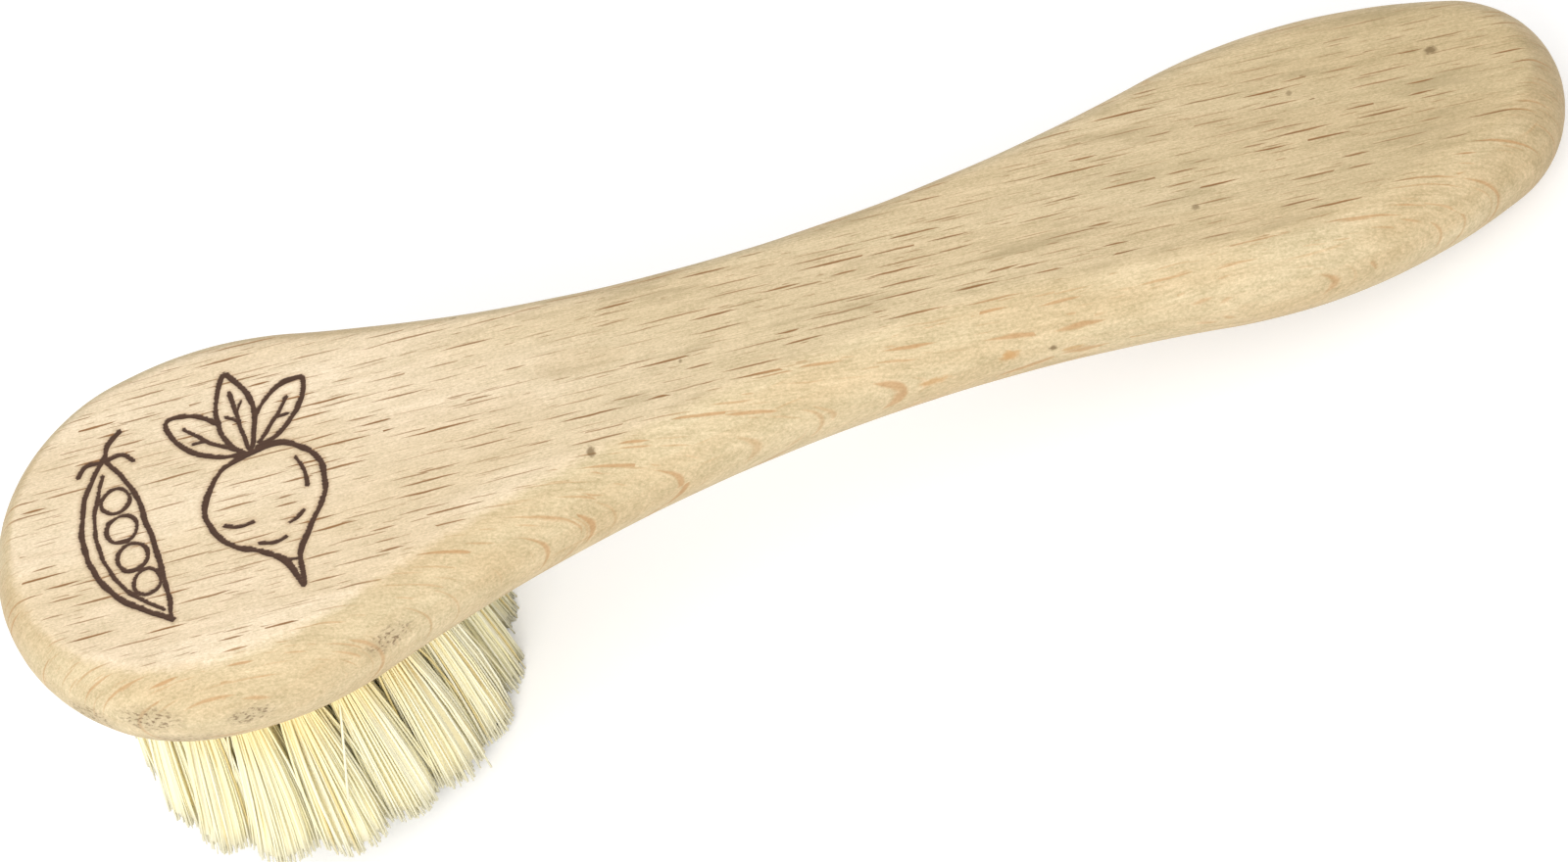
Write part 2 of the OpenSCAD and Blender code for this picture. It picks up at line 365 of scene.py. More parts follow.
class Wood(Shader):
    """The board's shader, with the coordinates and the noises that its layers share."""

    def __init__(self, owner):
        super().__init__(owner)
        self.place = self.attribute("grain", "Vector")
        self.side = self.attribute("side")
        self.burn = self.attribute("burn")
        # The grain runs 5 degrees off the board's axis at the head and 8.5 at the tail
        self.x, across, self.z = self.split(self.place)
        slope = self.math("MULTIPLY_ADD", self.x, GRAIN_CURVE, GRAIN_SLOPE)
        self.y = self.math("MULTIPLY_ADD", self.x, slope, across)
        self.grain = self.join(self.x, self.y, self.z)
        self.fibre = self.pattern(3.4, 0.17, 2.4, 3.0, 0.65)
        self.mottle = self.pattern(0.8, 0.8, 0.8, 3.0, 0.7)
        self.blotch = self.pattern(2.6, 1.7, 1.7, 4.0, 0.65)

    def stretched(self, vector, x, y, z):
        """Coordinates in which one unit is x, y and z millimetres of the wood."""
        return self.vector("MULTIPLY", vector, (1 / x, 1 / y, 1 / z))

    def pattern(self, x, y, z, detail=2.0, roughness=0.5):
        """A noise whose patches are about x by y by z millimetres, lengthwise in the grain."""
        return self.noise(self.stretched(self.grain, x, y, z), detail, roughness)

    def away_from(self, place, size):
        """The distance from a place, in half-sizes."""
        away = self.vector("SUBTRACT", self.place, place)
        return self.vector("LENGTH", self.vector("DIVIDE", away, size))

    def ground(self):
        """The top face and the side, whose border is uneven at the head and sharper at the tail. Painted
        light and shade make the top paler at the head and darker towards the neck and the tail, and the
        side darker at the tail's end; the side's colours are partly painted shade.
        """
        cloud = self.step(self.pattern(26.0, 7.0, 9.0), 0.3, 0.7)
        top = self.mix(cloud, TOP_PALE, TOP_TAN)
        # Painted shade: the top face darkens towards the neck and the tail
        top = self.mix(self.step(self.x, *NECK_FADE, 0.0, 0.75), top, TOP_SHADED_AT_NECK)
        top = self.mix(self.step(self.x, *TAIL_FADE, 0.0, 0.7), top, TOP_SHADED_AT_TAIL)
        # The side's colours are partly painted shade, and painted shade darkens the side at the tail's
        # end
        side = self.mix(cloud, SIDE_PALE, SIDE_TAN)
        side = self.mix(self.step(self.x, *END_FADE, 0.0, 0.5), side, SIDE_SHADED_AT_END)
        uneven = self.waver(self.waver(0.0, self.mottle, 0.9), self.blotch, 0.8)
        border = self.math("MULTIPLY_ADD", uneven, self.step(self.x, *BORDER_FADE, 1.0, 0.45), self.side)
        return self.mix(self.step(border, 0.1, 0.9), top, side)

    def ringed(self, colour):
        """Growth rings: broad bands everywhere, and thin lines of late wood on the side."""
        level = self.math("MULTIPLY_ADD", self.math("MULTIPLY", self.y, self.y), RING_CROWN, self.z)
        level = self.math("MULTIPLY_ADD", self.x, RING_SLOPE, level)
        level = self.math("MULTIPLY_ADD", self.pattern(38.0, 9.0, 9.0), RING_DRIFT, level)
        ring = self.math("FRACT", self.math("DIVIDE", level, RING_GAP))
        colour = self.mix(self.step(ring, 0.0, 0.9, 0.0, 0.1), colour, RING_BAND)
        line = self.math("MULTIPLY", self.step(ring, 0.86, 0.95), self.step(ring, 1.0, 0.97))
        patchy = self.step(self.pattern(7.0, 5.0, 3.0), 0.6, 0.75, 0.0, 0.42)
        line = self.math("MULTIPLY", self.math("MULTIPLY", line, patchy), self.side)
        return self.mix(line, colour, RING_LINE)

    def toned(self, colour):
        """Fine fibres, streaks and speckles. Darker wood is also yellower."""
        lively = self.step(self.x, *GRAIN_FADE, 0.38, 0.56)
        streak = self.pattern(12.0, 0.8, 4.0, 3.0)
        speckle = self.pattern(0.34, 0.13, 0.3, 2.0, 0.75)
        tone = self.waver(1.05, self.fibre, lively)
        tone = self.waver(tone, streak, self.math("MULTIPLY", lively, 0.7))
        for pattern, reach in ((self.mottle, 0.14), (speckle, 0.9), (self.blotch, 0.34)):
            tone = self.waver(tone, pattern, reach)
        blue = self.math("MULTIPLY_ADD", tone, 1.3, -0.3)
        return self.mix(1.0, colour, self.join(tone, tone, blue), "MULTIPLY")

    def handled(self, colour):
        """Grey stains of handling on the top of the neck and the tail."""
        stain = self.step(self.pattern(11.0, 2.2, 5.0, 4.0, 0.6), 0.52, 0.72, 0.0, 0.5)
        stain = self.math("MULTIPLY", stain, self.step(self.x, *HANDLED_FADE))
        stain = self.math("MULTIPLY", stain, self.math("SUBTRACT", 1.0, self.side))
        return self.mix(stain, colour, HANDLED)

    def flecks(self, cell, shift, longest, widest, share):
        """Spindles along the grain, one to a cell at most, thin across it and deep into the board."""
        waved = self.join(self.x, self.waver(self.y, self.pattern(3.0, 1.0, 6.0), 0.22), self.z)
        scaled = self.vector("ADD", self.stretched(waved, *cell), shift)
        cells = self.node("TexVoronoi", {"feature": "F1"}, Vector=scaled, Scale=1.0)
        for_length, for_width, for_share = self.split(cells.outputs["Color"])
        off = self.split(self.vector("SUBTRACT", scaled, cells.outputs["Position"]))
        half = self.math("MULTIPLY_ADD", for_length, longest * 0.7, longest * 0.3)
        along = self.math("DIVIDE", self.math("MULTIPLY", off[0], cell[0]), half)
        taper = self.math("SUBTRACT", 1.0, self.math("MULTIPLY", along, along))
        width = self.math("MULTIPLY_ADD", for_width, widest * 0.6, widest * 0.4)
        across = self.math("ABSOLUTE", self.math("MULTIPLY", off[1], cell[1]))
        within = self.math("SUBTRACT", self.math("MULTIPLY", taper, width), across)
        strength = self.math("MULTIPLY_ADD", for_width, 0.5, 0.5)
        there = self.math("MULTIPLY", self.math("LESS_THAN", for_share, share), strength)
        return self.math("MULTIPLY", self.step(within, -0.035, 0.045), there)

    def flecked(self, colour, large, small):
        """Ray flecks, dark on the top face and fainter and warmer on the side."""
        tint = self.mix(self.math("MULTIPLY", self.fibre, 0.8), FLECK_DARK, FLECK_PALE)
        tint = self.mix(self.side, tint, FLECK_SIDE)
        shown = self.math("MULTIPLY_ADD", self.side, -0.4, 1.0)
        colour = self.mix(self.math("MULTIPLY", large, shown), colour, tint)
        return self.mix(self.math("MULTIPLY", small, self.math("MULTIPLY", shown, 0.7)), colour, tint)

    def spotted(self, colour, spots, tint):
        """Ragged round spots."""
        for place, size, strength in spots:
            away = self.waver(self.away_from(place, size), self.mottle, 1.4)
            colour = self.mix(self.step(away, 1.0, 0.35, 0.0, strength), colour, tint)
        return colour

    def dirty(self, colour):
        """Grit in the pores, and a soft grey darkening round it on the low rim at the head."""
        share = DIRT_ELSEWHERE
        for place, size in DIRT:
            near = self.step(self.away_from(place, size), 1.0, 0.3, 0.0, DIRT_STRENGTH)
            share = self.math("MAXIMUM", share, near)
        # A soft grey darkening over the same places on the low rim at the head
        colour = self.mix(self.math("MULTIPLY", share, 0.32), colour, LOW_RIM_GREY)
        grit = self.step(self.pattern(0.45, 0.3, 0.3, 3.0), 0.52, 0.64)
        return self.mix(self.math("MULTIPLY", grit, share), colour, GRIT)

    def burnt(self, colour):
        """The burnt mark, with ragged rims and a faint scorch round it."""
        ragged = self.waver(self.waver(self.burn, self.fibre, 0.26), self.mottle, 0.16)
        colour = self.mix(self.step(self.burn, 0.42, 0.0, 0.0, 0.28), colour, SCORCH)
        char = self.mix(self.fibre, CHAR_DARK, CHAR_PALE)
        return self.mix(self.step(ragged, 0.05, -0.06), colour, char)


def wood_material():
    s = Wood(bpy.data.materials.new("beech"))
    large, small = s.flecks(*LARGE_FLECKS), s.flecks(*SMALL_FLECKS)
    colour = s.handled(s.toned(s.ringed(s.ground())))
    colour = s.flecked(colour, large, small)
    colour = s.spotted(s.spotted(colour, KNOTS, KNOT), STAINS, STAIN)
    colour = s.burnt(s.dirty(colour))
    height = s.math("MULTIPLY_ADD", s.fibre, 0.6, s.math("MULTIPLY", s.mottle, 0.5))
    height = s.math("SUBTRACT", height, s.math("MULTIPLY", large, 0.5))
    return s.dress({
        "Base Color": colour,
        "Roughness": 0.62,
        "Specular IOR Level": 0.3,
        "Normal": s.bump(height, 0.00006, 0.7),
    })


# The fibres' colours
CREAM_DEEP = linear(247, 238, 190)
CREAM_PALE = linear(252, 248, 224)
STRAW = linear(232, 212, 150)
# Painted shade: a warmer cream near the roots, and gold deep between the tufts, where shade falls
CREAM_SHADED_AT_ROOT = linear(247, 230, 172)
GOLD_PAINTED_SHADE = linear(242, 209, 128)
# Painted light: paler tips, standing in for the light that comes through their thin ends
CREAM_LIT_AT_TIP = linear(253, 247, 218)
# The anchors' colours, and the noise of their drawn wire in waves for each metre
STEEL_DARK = linear(150, 148, 143)
STEEL_PALE = linear(196, 194, 188)
WIRE_WAVES = (900, 900, 8000)


def fibre_material():
    """Cream fibres, a few of them straw, with painted shade, a warmer cream near the roots and gold deep
    between the tufts, and painted light, paler, at the tips.
    """
    s = Shader(bpy.data.materials.new("plant_fibre"))
    along = s.attribute("along")
    tone = s.attribute("tone")
    cream = s.mix(tone, CREAM_DEEP, CREAM_PALE)
    cream = s.mix(s.step(tone, 0.96, 1.0), cream, STRAW)
    # Painted shade: a warmer cream near the roots
    colour = s.mix(s.step(along, 0.45, 0.05), cream, CREAM_SHADED_AT_ROOT)
    # Painted shade: gold deep between the tufts and near their roots
    deep = s.step(s.attribute("depth"), 0.2, 1.0)
    deep = s.math("MULTIPLY", deep, s.step(along, 0.6, 0.05, 0.2, 1.0))
    colour = s.mix(deep, colour, GOLD_PAINTED_SHADE)
    # Painted light: the tips are painted paler
    colour = s.mix(s.step(along, 0.86, 1.0, 0.0, 0.7), colour, CREAM_LIT_AT_TIP)
    return s.dress({"Base Color": colour, "Roughness": 0.42, "Specular IOR Level": 0.4})


def wire_material():
    s = Shader(bpy.data.materials.new("anchor_wire"))
    place = s.node("TexCoord").outputs["Object"]
    drawn = s.noise(s.vector("MULTIPLY", place, WIRE_WAVES), 3.0)
    return s.dress({
        "Base Color": s.mix(drawn, STEEL_DARK, STEEL_PALE),
        "Roughness": s.step(drawn, 0.2, 0.8, 0.28, 0.45),
        "Metallic": 1.0,
    })


# The board's outline and edge

def direction(v):
    return math.atan2(v[1], v[0])


def meet(a, to_a, b, to_b):
    """The centre of the arc that meets two others, from the distances it keeps to their centres."""
    a, b = np.array(a), np.array(b)
    d = np.linalg.norm(b - a)
    u = (b - a) / d
    along = (d * d + to_a ** 2 - to_b ** 2) / (2 * d)
    aside = math.sqrt(to_a ** 2 - along ** 2)
    return a + along * u + aside * np.array([u[1], -u[0]])


def arc(centre, radius, start, end, side=1):
    """Points of an arc with their directions out of the board, without the last point."""
    steps = max(2, round(abs(end - start) * radius / OUTLINE_STEP))
    angles = start + (end - start) * np.arange(steps) / steps
    u = np.stack([np.cos(angles), np.sin(angles)], 1)
    return np.concatenate([np.array(centre) + radius * u, side * u], 1)


def board_outline():
    """Points of the outline, a chain of tangent arcs, each with its direction out of the board."""
    nose = np.array([NOSE_R, 0])
    neck = np.array([NECK_AT, NECK_W / 2 + NECK_R])
    tail = np.array([BOARD_L - TAIL_END_R, 0])
    head_side = meet(nose, HEAD_SIDE_R - NOSE_R, neck, HEAD_SIDE_R + NECK_R)
    tail_side = meet(neck, TAIL_SIDE_R + NECK_R, tail, TAIL_SIDE_R - TAIL_END_R)
    half = np.concatenate([
        arc(nose, NOSE_R, math.pi, direction(nose - head_side)),
        arc(head_side, HEAD_SIDE_R, direction(nose - head_side), direction(neck - head_side)),
        arc(neck, NECK_R, direction(head_side - neck), direction(tail_side - neck), -1),
        arc(tail_side, TAIL_SIDE_R, direction(neck - tail_side), direction(tail - tail_side)),
        arc(tail, TAIL_END_R, direction(tail - tail_side), 0),
    ])
    far = half[:0:-1] * [1, -1, 1, -1]
    return np.concatenate([half, [[BOARD_L, 0, 1, 0]], far])


def curve(start, bend, end, t):
    return (1 - t) ** 2 * start + 2 * t * (1 - t) * bend + t ** 2 * end


def corner_row(start, corner, end, steps):
    """Points that round a corner off, with both ends."""
    t = np.linspace(0, 1, steps)[:, None]
    return [*curve(np.array(start), np.array(corner), np.array(end), t)]


def edge_profile(round_top):
    """Inset and height of each row of the edge, from the top face down to the bottom face."""
    top = math.asin(EDGE_DROP / EDGE_TOP_R)
    low = math.asin((BOARD_T - EDGE_DROP) / EDGE_LOW_R)

    def upper(a):
        return [EDGE_TOP_R * (1 - math.cos(a)), EDGE_TOP_R * math.sin(a) - EDGE_DROP]

    def lower(a):
        return [EDGE_LOW_R * (1 - math.cos(a)), -EDGE_LOW_R * math.sin(a) - EDGE_DROP]

    top_rows, upper_rows, lower_rows, low_rows = EDGE_ROWS
    top_end, low_end = top - round_top / EDGE_TOP_R, low - LOW_ROUND / EDGE_LOW_R
    crease, corner = upper(top), lower(low)
    rows = corner_row([crease[0] + round_top, 0], crease, upper(top_end), top_rows)
    rows += [upper(a) for a in np.linspace(top_end, 0, upper_rows)[1:]]
    rows += [lower(a) for a in np.linspace(0, low_end, lower_rows)[1:]]
    rows += corner_row(lower(low_end), corner, [corner[0] + LOW_ROUND, -BOARD_T], low_rows)[1:]
    return np.array(rows)


# The burnt mark: a root vegetable with three leaves, and an open pea pod

def spline(points, closed):
    """Points along a smooth curve through the given ones."""
    p = np.array(points, float)
    n = len(p)
    out = []
    for i in range(n if closed else n - 1):
        a, b, c, d = (
            p[[(i + k) % n for k in (-1, 0, 1, 2)]] if closed
            else p[[max(0, i - 1), i, i + 1, min(n - 1, i + 2)]]
        )
        steps = max(2, round(np.linalg.norm(c - b) / STROKE_STEP))
        for t in np.arange(steps) / steps:
            out.append(
                0.5 * (2 * b + (c - a) * t + (2 * a - 5 * b + 4 * c - d) * t ** 2
                       + (3 * b - a - 3 * c + d) * t ** 3)
            )
    if not closed:
        out.append(p[-1])
    return np.array(out)


def loop(x, y, radius):
    """Eight points of a circle, from an angle that differs from loop to loop."""
    angles = np.linspace(0, 2 * math.pi, 9)[:-1] + x
    return [(x + radius * math.cos(a), y + radius * math.sin(a)) for a in angles]


# Each stroke of the mark: its width, whether it closes, and the points that it runs through
STROKES = (
    # the root
    (0.55, True, [
        (4.3, 2.9), (7.4, 2.5), (9.6, -0.4), (9.2, -3.7), (6.9, -6.5), (5.3, -8.6), (4.5, -11.6),
        (3.9, -8.7), (2.3, -6.8), (-0.2, -4.4), (-0.9, -0.8), (1.3, 2.3),
    ]),
    (0.4, False, [(7.9, 0.6), (8.2, -1.0), (7.9, -2.6)]),
    (0.4, False, [(0.2, -2.8), (1.4, -3.5), (2.7, -3.7)]),
    (0.4, False, [(2.4, -5.9), (3.6, -6.4), (4.7, -6.4)]),
    (0.35, False, [(6.9, -4.7), (6.0, -5.2), (5.3, -5.3)]),
    (0.35, False, [(4.2, -8.6), (4.8, -8.9)]),
    # its leaves
    (0.5, True, [(4.1, 3.1), (2.9, 5.6), (3.2, 8.7), (4.9, 11.6), (6.2, 8.8), (5.9, 5.8), (4.8, 3.4)]),
    (0.4, False, [(4.5, 3.4), (4.6, 6.2), (4.8, 9.6)]),
    (0.35, False, [(4.6, 6.4), (3.8, 7.4)]),
    (0.35, False, [(4.7, 7.4), (5.5, 8.3)]),
    (0.5, False, [(3.7, 3.2), (1.3, 4.3), (-0.7, 6.6), (-1.2, 9.6), (1.4, 8.9), (3.0, 7.0)]),
    (0.4, False, [(3.4, 3.9), (1.6, 5.8), (0.0, 8.2)]),
    (0.35, False, [(1.4, 6.0), (0.3, 6.2)]),
    (0.5, False, [(5.2, 3.1), (7.6, 3.7), (9.9, 5.4), (11.0, 7.9), (8.4, 8.0), (6.3, 6.5)]),
    (0.4, False, [(5.6, 3.6), (7.4, 5.0), (9.2, 6.8)]),
    (0.35, False, [(7.7, 5.2), (8.7, 5.1)]),
    # the pod and its peas
    (0.55, False, [(-7.3, 8.8), (-10.2, 5.4), (-11.5, 0.4), (-10.3, -4.8), (-6.6, -9.2)]),
    (0.5, False, [(-7.3, 8.8), (-5.9, 4.8), (-5.8, 0.2), (-6.0, -4.6), (-6.6, -9.2)]),
    (0.4, False, [(-7.9, 7.2), (-9.7, 3.6), (-10.3, 0.1), (-9.5, -4.2), (-7.0, -8.0)]),
    (0.42, True, loop(-7.6, 4.3, 1.25)),
    (0.42, True, loop(-7.9, 1.4, 1.35)),
    (0.42, True, loop(-7.9, -1.7, 1.35)),
    (0.42, True, loop(-7.5, -4.6, 1.2)),
    # its stalk
    (0.6, False, [(-7.3, 8.7), (-6.6, 9.9), (-5.2, 10.8)]),
    (0.45, False, [(-7.4, 8.6), (-8.8, 8.9), (-9.8, 8.2)]),
    (0.45, False, [(-7.0, 8.6), (-5.6, 8.4), (-4.9, 7.3)]),
)


def mark_strokes():
    """The middle line and the half-widths of every stroke, in the board's frame."""
    c, s = math.cos(math.radians(MARK_TURN)), math.sin(math.radians(MARK_TURN))
    turned = np.array([[c, s], [-s, c]])
    swell_seed, *swell = STROKE_SWELL
    made = []
    for k, (width, closed, points) in enumerate(STROKES):
        line = spline(points, closed)
        line = line + np.stack([wander(line, seed + k, *waver) for seed, *waver in STROKE_WAVER], 1)
        half = width / 2 * (1 + wander(line, swell_seed + k, *swell))
        made.append((line @ turned + MARK_AT, half))
    return made


def top_grid(x_low, x_high, y_low, y_high, spacing):
    rows = np.meshgrid(np.arange(x_low, x_high, spacing), np.arange(y_low, y_high, spacing))
    return np.stack(rows, -1).reshape(-1, 2)


def top_points(strokes):
    """Points of the top face that follow the mark's strokes, with few elsewhere."""
    grids = [top_grid(*grid) for grid in TOP_GRIDS]
    grids = [grid + rng.uniform(-GRID_SHIFT, GRID_SHIFT, grid.shape) for grid in grids]
    rows = []
    for line, half in strokes:
        line, half = line[::2], half[::2]
        ahead = np.gradient(line, axis=0)
        ahead /= np.linalg.norm(ahead, axis=1)[:, None]
        beside = np.stack([-ahead[:, 1], ahead[:, 0]], 1)
        rows.append(line)
        for step in STROKE_ROWS:
            reach = beside * (half + step)[:, None]
            rows += [line + reach, line - reach]
    points = np.concatenate(rows + grids)
    cells = np.round(points / LEAST_GAP).astype(int)
    keep = np.unique(cells, axis=0, return_index=True)[1]
    return points[np.sort(keep)]


def tree_of(points):
    """A tree that finds the nearest of flat points."""
    tree = KDTree(len(points))
    for i, p in enumerate(points):
        tree.insert((p[0], p[1], 0), i)
    tree.balance()
    return tree


def outside(points, outline, inset):
    """How far each point lies outside the outline drawn in by the inset, roughly."""
    tree = tree_of(outline)
    nearest = [tree.find((p[0], p[1], 0))[1] for p in points]
    return np.array([(p - outline[k, :2]) @ outline[k, 2:] + inset[k] for p, k in zip(points, nearest)])


def to_strokes(points, strokes):
    """Distance of each point from the rim of the nearest stroke, negative inside it."""
    halves = np.concatenate([half for _, half in strokes])
    tree = tree_of(np.concatenate([line for line, _ in strokes]))
    return np.array([
        min(d - halves[k] for _, k, d in tree.find_n((p[0], p[1], 0), NEAREST)) for p in points
    ])


# The board

def holes():
    """Every hole's name, mouth, and directions into the wood, outward and beside."""
    low_inset = EDGE_LOW_R - math.sqrt(EDGE_LOW_R ** 2 - (BOARD_T - EDGE_DROP) ** 2)
    field_r = NOSE_R - low_inset - RIM_W - HOLE_R
    made = [("tuft_middle", 0.0, 0.0, 0.0)]
    for ring, word in zip(range(1, RINGS + 1), ("inner", "second", "outer")):
        for i in range(FIRST_RING * ring):
            turn = 2 * math.pi * (i + 0.5) / (FIRST_RING * ring)
            made.append((f"tuft_{word}_{i + 1}", field_r * ring / RINGS, turn, SPLAY * ring / RINGS))
    out = []
    for name, r, turn, lean in made:
        lean = math.radians(lean)
        c, s = math.cos(turn), math.sin(turn)
        mouth = np.array([FIELD_AT + r * c, r * s, -BOARD_T])
        into = np.array([-math.sin(lean) * c, -math.sin(lean) * s, math.cos(lean)])
        across = np.array([math.cos(lean) * c, math.cos(lean) * s, math.sin(lean)])
        beside = np.array([-s, c, 0])
        out.append((name, mouth, into, across, beside))
    return out


def hole_ring(hole, depth, flat):
    """A ring of points round a hole, at a depth or cut flat at its mouth."""
    _, mouth, into, across, beside = hole
    a = np.arange(HOLE_SIDES) * 2 * math.pi / HOLE_SIDES
    ring = mouth + HOLE_R * (np.cos(a)[:, None] * across + np.sin(a)[:, None] * beside)
    if flat:
        return ring + ((mouth[2] - ring[:, 2]) / into[2])[:, None] * into
    return ring + depth * into


def circuit(first, count):
    """Pairs of neighbours round a closed ring of points."""
    return [(first + i, first + (i + 1) % count) for i in range(count)]


def fill(outer, inner, edges):
    """Flat points and the triangles between them, inside the outer ones and along the given edges."""
    triangles_inside, least_gap = 1, 1e-5
    flat = [Vector(p[:2]) for p in [*outer, *inner]]
    rim = circuit(0, len(outer))
    found = geometry.delaunay_2d_cdt(flat, rim + edges, [], triangles_inside, least_gap)
    assert len(found[0]) == len(flat)
    return np.array([tuple(v) for v in found[0]]), found[2]


class Skin:
    """The board's mesh as it grows. Each point has its place in the grain, its share of the side's
    colour and its distance from the mark's rim."""

    def __init__(self):
        self.faces = []
        self.columns = [], [], [], []

    def add(self, points, side, burn=NO_MARK, grain=None):
        """Adds points, and gives the number of the first one."""
        first = sum(map(len, self.columns[0]))
        values = (
            points,
            points if grain is None else grain,
            np.broadcast_to(side, len(points)),
            np.broadcast_to(burn, len(points)),
        )
        for column, value in zip(self.columns, values):
            column.append(value)
        return first


def add_edge(skin, edge):
    """The edge all round, from rows of points."""
    rows, n = edge.shape[:2]
    side = np.interp(np.arange(rows), [SIDE_FROM, SIDE_TO], [0, 1])
    skin.add(edge.reshape(-1, 3), np.repeat(side, n))
    for k in range(rows - 1):
        skin.faces += [(a, b, b + n, a + n) for a, b in circuit(k * n, n)]


def add_top(skin, outline, inset, rim):
    """The top face inside its rim, with the mark pressed into it."""
    n = len(rim)
    strokes = mark_strokes()
    inner = top_points(strokes)
    inner = inner[outside(inner, outline, inset) < -RIM_GAP]
    flat, triangles = fill(rim, inner, [])
    inner = flat[n:]
    burn = to_strokes(inner, strokes)
    press = -MARK_DEPTH * smoothstep(-burn, *MARK_WALL)
    level = np.column_stack([inner, np.zeros(len(inner))])
    first = skin.add(np.column_stack([inner, press]), 0.0, np.clip(burn, -1, NO_MARK), level)
    skin.faces += [tuple(v if v < n else first + v - n for v in t) for t in triangles]


def add_bottom(skin, rim, rim_at):
    """The bottom face inside its rim, and the holes."""
    n = len(rim)
    drilled = holes()
    mouths = [hole_ring(hole, 0, True) for hole in drilled]
    edges = [e for h in range(len(drilled)) for e in circuit(n + h * HOLE_SIDES, HOLE_SIDES)]
    flat, triangles = fill(rim, np.concatenate(mouths), edges)
    rings = mouths + [hole_ring(hole, HOLE_DEPTH, False) for hole in drilled]
    first = skin.add(np.concatenate(rings), HOLE_TONE)
    # Triangles whose middle is in a hole's mouth are left out
    in_hole = HOLE_R * 0.985
    for t in triangles:
        middle = flat[list(t)].mean(0)
        if all(np.linalg.norm(middle - m.mean(0)[:2]) > in_hole for m in mouths):
            skin.faces.append(tuple(rim_at + v if v < n else first + v - n for v in reversed(t)))
    for h in range(len(drilled)):
        to_deep = len(drilled) * HOLE_SIDES
        wall = circuit(first + h * HOLE_SIDES, HOLE_SIDES)
        skin.faces += [(b, a, a + to_deep, b + to_deep) for a, b in wall]
        skin.faces.append(tuple(a + to_deep for a, _ in wall))


def build_board(material):
    outline = board_outline()
    rounds = TOP_ROUND + sum(wander(outline, *wave) for wave in CORNER_WAVES)
    profiles = np.array([edge_profile(r) for r in rounds])
    rows = profiles.shape[1]
    edge = np.empty((rows, len(outline), 3))
    dents = wander(outline, *SIDE_DENTS)
    for k in range(rows):
        inset = profiles[:, k, 0] - dents * math.sin(math.pi * k / (rows - 1))
        edge[k, :, :2] = outline[:, :2] - inset[:, None] * outline[:, 2:]
        edge[k, :, 2] = profiles[:, k, 1]
    skin = Skin()
    add_edge(skin, edge)
    add_top(skin, outline, profiles[:, 0, 0], edge[0])
    add_bottom(skin, edge[-1], (rows - 1) * len(outline))
    points, grain, side, burn = map(np.concatenate, skin.columns)
    piece = make_piece(
        "board", points, skin.faces, material,
        [("grain", "FLOAT_VECTOR", grain), ("side", "FLOAT", side), ("burn", "FLOAT", burn)],
    )
    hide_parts("handle")


# The tufts

# Places along a fibre's leg, from its tip to its root, and turns of its fold over the anchor
LEG = np.array([1.0, 0.8, 0.58, 0.36, 0.16, 0.0])
FOLD = np.radians([0, 45, 90, 135, 180])
# How far below the wire's top edge the fold starts, and how high it arches at most
FOLD_BELOW = 0.1
FOLD_ARCH = 1.2
# Places along the heart, from its root to its end, and its ribs
HEART = np.linspace(0.0, 0.965, 9)
HEART_SIDES = 72
# How far inside the hole's wall and the fibres' tips the heart stays
HEART_ROOT_GAP = 0.35
HEART_TIP_GAP = 0.4
# How unevenly its ribs stand out and end, and their tones
RIB_HEIGHTS = (-0.22, 0.08)
RIB_ENDS = (-0.5, 0.1)
RIB_TONES = (0.2, 0.9)
# The roots crowd towards the rim by this power, and turn by the golden section
CROWDING = 0.36
GOLDEN = 0.618034
# A leg bends towards its tip's place by this share
BEND = 0.6
# Wisps that the tips gather to: their number, their reach against the spread, and their pull
WISPS = 9
WISP_REACH = 0.75
WISP_PULL = 0.16
# Spread of the random lean of a tuft that isn't listed: outward, and round the ring in degrees
SWAY_OUT = 0.25
SWAY_ROUND = 2.0
# Random shifts of a fibre's root, tip and bend, and of the trimmed length
ROOT_JITTER = 0.08
TIP_JITTER = 0.06
BEND_JITTER = 0.16
TRIM_JITTER = 0.08
# How far a tip reaches against its place
TIP_REACHES = (0.96, 1.0)
# The share of fibres that stray, and how far
STRAYING = 0.035
STRAY_REACH = 0.8
# The share that leave the bundle early, and how far their bends reach against their tips
EARLY = 0.16
EARLY_REACHES = (0.9, 1.25)
# No fibre comes nearer to the ground than this, in metres
CLEARANCE = 0.00003
# How much painted shade, gold, the inner tufts and the hearts get, as they lie deep between the others
INNER_PAINTED_SHADE = 0.6
HEART_PAINTED_SHADE = 0.7


def packed_heart(hole, wider, bent):
    """The fibres in the tuft's middle, too close to tell apart, as a ribbed bundle."""
    _, mouth, into, across, beside = hole
    n = HEART_SIDES
    a = np.arange(n) * 2 * math.pi / n
    t = HEART[:, None]
    root, tip = HOLE_R - HEART_ROOT_GAP, TIP_SPREAD * wider - HEART_TIP_GAP
    r = curve(root, root * (1 - BEND) + tip * BEND, tip, t) + rng.uniform(*RIB_HEIGHTS, n)
    out = r * np.cos(a) + bent[0] * t * t
    round_by = r * np.sin(a) + bent[1] * t * t
    down = BRISTLE_L / into[2] * t + rng.uniform(*RIB_ENDS, n) * (t > 0.9)
    points = mouth + out[..., None] * across + round_by[..., None] * beside - down[..., None] * into
    last = (len(HEART) - 1) * n
    faces = [(a, b, b + n, a + n) for k in range(0, last, n) for a, b in circuit(k, n)]
    faces.append(tuple(range(last, last + n)))
    faces.append(tuple(range(n - 1, -1, -1)))
    tone = np.tile(rng.uniform(*RIB_TONES, n), len(HEART))
    return points.reshape(-1, 3), faces, np.repeat(HEART, n), tone


